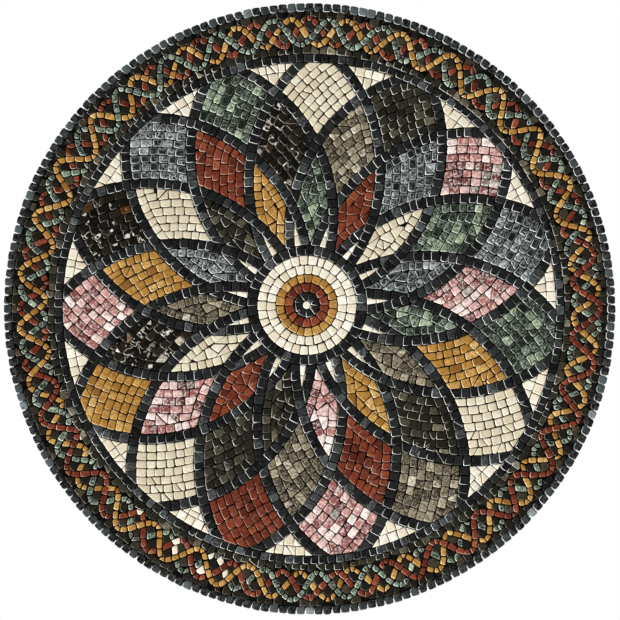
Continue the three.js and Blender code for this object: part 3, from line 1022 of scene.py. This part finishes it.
def fill_gaps(outlines, limits, middle):
    """Stones cut to fit the bare places that a field's rows leave, looked for on a fine grid."""
    laid = [as_blocker(outline) for outline in outlines if outline and abs(area(outline)) > SMALLEST_AREA]
    patches = []
    steps = [GAP_STEP * i for i in range(-GAP_PLACES, GAP_PLACES + 1)]
    for right, up in itertools.product(steps, steps):
        x, z = place = (middle[0] + right, middle[1] + up)
        if any((math.dist(place, centre) - radius) * side > -GAP_ROOM for centre, radius, side in limits):
            continue
        if any(all(beyond(place, *edge) < GAP_ROOM for edge in edges) for _, edges in laid):
            continue
        corners = [(x - GAP_STONE, z - GAP_STONE), (x + GAP_STONE, z - GAP_STONE),
                   (x + GAP_STONE, z + GAP_STONE), (x - GAP_STONE, z + GAP_STONE)]
        patch = trim_to(fit_between(place, corners, laid), limits)
        if patch and abs(area(patch)) > SMALLEST_AREA:
            patches.append(patch)
            laid.append(as_blocker(patch))
    return patches


def fill_field(axis, level, edged, first, extra):
    """The stones of one field: a row along each of the edged sides, then rows side by side from the
    first side to the one opposite. A stone that no next row covers is cut wider, up to the far side."""
    sides = field_sides(axis, level)
    margins = [HALF_ROW] * 4
    whole = limits_of(sides, margins) + extra
    tips = [2 * CIRCLE_RADIUS * math.sin(math.radians(crossing_angle(n))) for n in (level, level + 2)]
    towards = polar((tips[0] + min(tips[1], BORDER_INNER)) / 2, axis)
    overrun = math.degrees(REACH / CIRCLE_RADIUS)
    outlines = []
    for own in edged:
        centre, side = sides[own]
        start = CIRCLE_RADIUS - side * margins[own]
        end = start - side * FIELD_PITCH
        others = [limit for i, limit in enumerate(limits_of(sides, margins)) if i != own] + extra
        free = free_range(centre, (start + end) / 2, others, towards)
        if free:
            joints = joints_along(*free, CIRCLE_RADIUS, FIELD_PITCH, FIELD_UNEVEN)
            joints[0] -= overrun
            joints[-1] += overrun
            row = lay_row((centre, start), (centre, end), joints)
            outlines.extend(trim_to(outline, others) for outline in row)
            margins[own] += FIELD_PITCH
    centre, side = sides[first]
    limits = limits_of(sides, margins)
    others = [limit for i, limit in enumerate(limits) if i != first] + extra
    far = limits[first + 1]
    start = CIRCLE_RADIUS - side * margins[first]
    width = abs(math.dist(towards, centre) - start) + abs(math.dist(towards, far[0]) - far[1])
    step = width / max(1, round(width / FIELD_PITCH))
    across = [limit for limit in others if limit is not far]
    free = free_range(centre, start - side * step / 2, others, towards)
    limited = [False, False]
    while free:
        joints = joints_along(*free, CIRCLE_RADIUS, FIELD_PITCH, FIELD_UNEVEN)
        if not limited[0]:
            joints[0] -= overrun
        if not limited[1]:
            joints[-1] += overrun
        next_row = start - side * step * 1.5
        room = free_range(centre, next_row, across, towards)
        following = free_range(centre, next_row, others, towards)
        widened = [False, False]
        for pair in zip(joints, joints[1:]):
            middle = sum(pair) / 2
            wide = not following
            if following and room:
                if room[0] < middle < following[0]:
                    wide = widened[0] = True
                    following = (max(following[0], pair[1]), following[1])
                elif following[1] < middle < room[1]:
                    wide = True
                    if not widened[1]:
                        following = (following[0], min(following[1], pair[0]))
                    widened[1] = True
            end = start - side * step * (2 if wide else 1)
            stone = lay_row((centre, start), (centre, end), pair)[0]
            outlines.append(trim_to(stone, others))
        free, limited = following, widened
        start -= side * step
    return outlines + fill_gaps(outlines, whole, towards)


# Cream limestone, honed: warm and chalky, with fine brown specks and thin straw-coloured veins.
cream_limestone = cut_stone(
    "honed_cream_limestone", {0.0: "#c6baa0", 0.3: "#d3c9b0", 0.7: "#ddd4bf", 1.0: "#e7dfcd"},
    cloud="#c2b69c", edge="#efe8d4", edge_share=0.4, roughness=0.48, cloud_size=4.0, cloud_share=0.5,
    fleck="#a89877", fleck_share=0.3, vein="#b8a67e", vein_size=13.0, vein_share=0.25, grain_share=0.2,
)
# Pink marble, honed: from maroon to nearly white, with white crystals, and here and there a grey stone.
pink_marble = cut_stone(
    "honed_pink_marble", {
        0.0: "#4a201f", 0.22: "#8a4b46", 0.55: "#c0857c", 0.8: "#efdcd4", 0.9: "#f4e7df", 0.94: "#8f8a80",
        1.0: "#57504a",
    },
    cloud="#6b3431", edge="#f0dfd9", edge_share=0.5, roughness=0.36, cloud_size=4.2, cloud_share=0.5,
    fleck="#faf1ec", fleck_size=3.2, fleck_share=0.5,
)
# Slate-blue marble, tumbled: blue-black, with pale grey crystals that whiten some stones.
slate_marble = cut_stone(
    "tumbled_slate_blue_marble",
    {0.0: "#1b2222", 0.2: "#161b1b", 0.75: "#1c2222", 0.93: "#5a6464", 1.0: "#b4bcba"},
    cloud="#0c1010", edge="#dde2e0", edge_share=1.0, roughness=0.26, cloud_size=2.6, cloud_share=0.75,
    border_share=0.2, fleck="#ced5d3", fleck_size=2.4, fleck_share=0.75, flecked=(0.01, 0.91),
)
# Taupe marble, honed: grey-brown, from stone to stone nearly black or nearly white.
taupe_marble = cut_stone(
    "honed_taupe_marble", {0.0: "#1a160f", 0.3: "#3d3427", 0.6: "#766b57", 0.85: "#aba088", 1.0: "#d3cab6"},
    cloud="#30281d", edge="#c8bfaa", edge_share=0.55, roughness=0.34, cloud_size=2.6, cloud_share=0.8,
    fleck="#bfb49b", fleck_size=1.8, fleck_share=0.45,
)
# Veined marble, polished: black-brown with white shards and, in some stones, a fine white vein.
veined_marble = cut_stone(
    "polished_veined_marble",
    {0.0: "#0d0c0a", 0.6: "#171410", 0.9: "#292219", 0.96: "#68431f", 1.0: "#cfc6b4"},
    cloud="#221b14", edge="#b5b0a5", edge_share=0.7, roughness=0.24, cloud_size=5.0, cloud_share=0.5,
    fleck="#d6cebf", fleck_size=3.6, fleck_share=0.9, shards=True,
    vein="#e6dfd0", vein_share=0.85, vein_width=0.02, veined=(0.62, 0.72),
)

FIELD_STONES = {
    "cream": cream_limestone, "dark": olive_stone, "pink": pink_marble, "slate": slate_marble,
    "green": green_marble, "taupe": taupe_marble, "red": red_limestone, "ochre": ochre_marble,
    "veined": veined_marble,
}
# The kinds of stone, clockwise from the top.
OUTER_FIELDS = "cream dark pink slate green cream taupe pink red cream ochre pink veined slate green".split()
MIDDLE_FIELDS = "taupe slate green pink ochre dark red taupe dark pink veined ochre cream red veined".split()
PETAL_FIELDS = "green red cream slate green taupe ochre pink dark red cream taupe slate dark ochre".split()
# Which sides may have a row along them, for a petal, a middle field and an outer one.
EDGINGS = (((0, 2, 1, 3), (2, 0, 3, 1), (1, 3, 0), (3, 1, 2)), ((1,), (3,), (1, 2), (3, 0)), ((), ()))

for name, level, kinds, axis_of, extra in (
    ("outer_field", 2, OUTER_FIELDS, petal_axis, [(MIDDLE, BORDER_INNER, 1)]),
    ("middle_field", 1, MIDDLE_FIELDS, between_axis, []),
    ("petal", 0, PETAL_FIELDS, petal_axis, [(MIDDLE, PETAL_TIP, -1)]),
):
    for index, kind in enumerate(kinds):
        edged = hand.choice(EDGINGS[level])
        first = hand.choice((0, 2))
        stones = cut_all(drifted(fill_field(axis_of(index), level, edged, first, extra)))
        node = f"{name}_{index + 1:02d}"
        lay_stones(f"{node}_stones", node, kind, stones, FIELD_STONES[kind])

# ---------------------------------------------------------------------------
# The middle: a round white stone, rings of black, red, ochre and white stones
# about it, and a black row from which white needles point outwards.
CENTRE_STONE_RADIUS = 4.3
CENTRE_STONE_SIDES = 12
CENTRE_STONE_GAP = 0.4
HUB_PITCH = 8.6
NEEDLE_JOINT = (67, 72)
NEEDLE_TIP = 86.0
NEEDLE_MARGIN = HALF_ROW - 0.3
NEEDLE_TURN = 5
# Each ring's outer radius, how many stones it has, and what they are.
RINGS = (
    ("black_ring", 13.3, 8, basalt, "black"), ("red_ring", 22.6, 14, red_limestone, "red"),
    ("ochre_ring", 31.2, 21, ochre_marble, "ochre"), ("cream_ring", 40.5, 27, white_marble, "cream"),
    ("white_ring", 50.0, 33, white_marble, "white"),
)

turns = [-i * 360 / CENTRE_STONE_SIDES for i in range(CENTRE_STONE_SIDES)]
round_outline = [polar(CENTRE_STONE_RADIUS - CENTRE_STONE_GAP, turn) for turn in turns]
lay_stones("centre_stone_round", "centre_stone", "white", drifted([round_outline]), white_marble)
inner = CENTRE_STONE_RADIUS
for name, outer, count, material, slot in RINGS:
    pitch = math.pi * (inner + outer) / count
    ring = cut_all(drifted(full_ring(inner, outer, pitch)), joint=0.9)
    lay_stones(f"{name}_stones", name, slot, ring, material)
    inner = outer
hub_row = cut_all(drifted(full_ring(inner, HUB_OUTER, HUB_PITCH)))
lay_stones("hub_row_stones", "hub_row_and_needles", "black", hub_row, basalt)

needles = []
for index in range(PETALS):
    axis = between_axis(index)
    limits = limits_of(field_sides(axis, -1)[1::2], (NEEDLE_MARGIN,) * 2) + [(MIDDLE, HUB_OUTER, -1)]
    split = hand.uniform(*NEEDLE_JOINT)
    for low, high in ((HUB_OUTER, split), (split, NEEDLE_TIP)):
        row = lay_row((MIDDLE, low), (MIDDLE, high), (axis - NEEDLE_TURN, axis + NEEDLE_TURN))
        needles.extend(trim_to(outline, limits) for outline in row)
needle_stones = cut_all(drifted(needles), joint=0.5, corner=0.4, rough=0.1, smallest=0.3)
lay_stones("white_needles", "hub_row_and_needles", "white", needle_stones, white_marble)

# ---------------------------------------------------------------------------
# The room: a pale floor below the panel in a white studio, with a dark curtain
# behind the camera and a long soft light low on the left, which rakes over
# the stones and catches their lower left edges.
ROOM_LIGHT = 0.35
CURTAIN_LIGHT = 0.02
WALL_LIGHT = 1.0
FLOOR_RADIUS = 0.9
FLOOR_HEIGHT = -0.45
FLOOR_SIDES = 64
STIPPLE_SIZE = 2.0
UNEVEN_SIZE = 160.0

world = bpy.data.worlds.new("white_studio")
bpy.context.scene.world = world
world.use_nodes = True
world.node_tree.nodes.clear()
add = functools.partial(add_node, world.node_tree)
to_camera = add("ShaderNodeLightPath").outputs["Is Camera Ray"]
direction = add("ShaderNodeTexCoord").outputs["Generated"]
away = add("ShaderNodeSeparateXYZ", {"Vector": direction}).outputs["Y"]
curtain = add("ShaderNodeMapRange", {
    "Value": away, "From Min": -0.9, "From Max": -0.3, "To Min": CURTAIN_LIGHT, "To Max": ROOM_LIGHT,
})
behind = add("ShaderNodeMapRange", {
    "Value": away, "From Min": 0.35, "From Max": 0.75, "To Max": WALL_LIGHT - ROOM_LIGHT,
})
lit = add("ShaderNodeMath", {0: curtain, 1: behind}, operation="ADD")
strength = add("ShaderNodeMix", {0: to_camera, 2: lit, 3: 1.0})
wall = add("ShaderNodeBackground", {"Color": linear("#ffffff"), "Strength": strength})
add("ShaderNodeOutputWorld", {"Surface": wall})

for name, place, energy, softness in (
    ("low_left_light", (-1.5, -0.75, -1.2), 7.4, 12.0), ("high_right_fill", (1.2, -1.0, 1.4), 0.8, 40.0),
):
    lamp_data = bpy.data.lights.new(name, "SUN")
    lamp_data.energy = energy
    lamp_data.angle = math.radians(softness)
    lamp = bpy.data.objects.new(name, lamp_data)
    lamp.location = place
    lamp.rotation_euler = (-lamp.location).to_track_quat("-Z", "Y").to_euler()
    bpy.context.scene.collection.objects.link(lamp)

# Rolled wall paint: near white, matt, with the roller's fine stipple and the faintest unevenness.
floor_material, add = new_material("rolled_pale_paint")
on_floor = add("ShaderNodeTexCoord").outputs["Object"]
stipple = add("ShaderNodeTexNoise", {"Vector": on_floor, "Scale": 1 / (STIPPLE_SIZE * MM), "Detail": 2.0})
unevenness = add("ShaderNodeTexNoise", {"Vector": on_floor, "Scale": 1 / (UNEVEN_SIZE * MM)})
paint = add("ShaderNodeMix", {
    "Factor": unevenness, 6: linear("#f0efec"), 7: linear("#f7f6f4"),
}, data_type="RGBA")
stippled = add("ShaderNodeBump", {"Height": stipple, "Strength": 0.3, "Distance": 0.2 * MM})
painted = add("ShaderNodeBsdfPrincipled", {"Base Color": paint, "Roughness": 0.8, "Normal": stippled})
add("ShaderNodeOutputMaterial", {"Surface": painted})

turns = [2 * math.pi * i / FLOOR_SIDES for i in range(FLOOR_SIDES)]
floor_points = [(FLOOR_RADIUS * math.cos(t), FLOOR_RADIUS * math.sin(t), FLOOR_HEIGHT) for t in turns]
floor = new_piece("pale_floor", floor_points, [range(FLOOR_SIDES)], floor_material)
floor.visible_shadow = False

bpy.context.scene.view_settings.view_transform = "Standard"
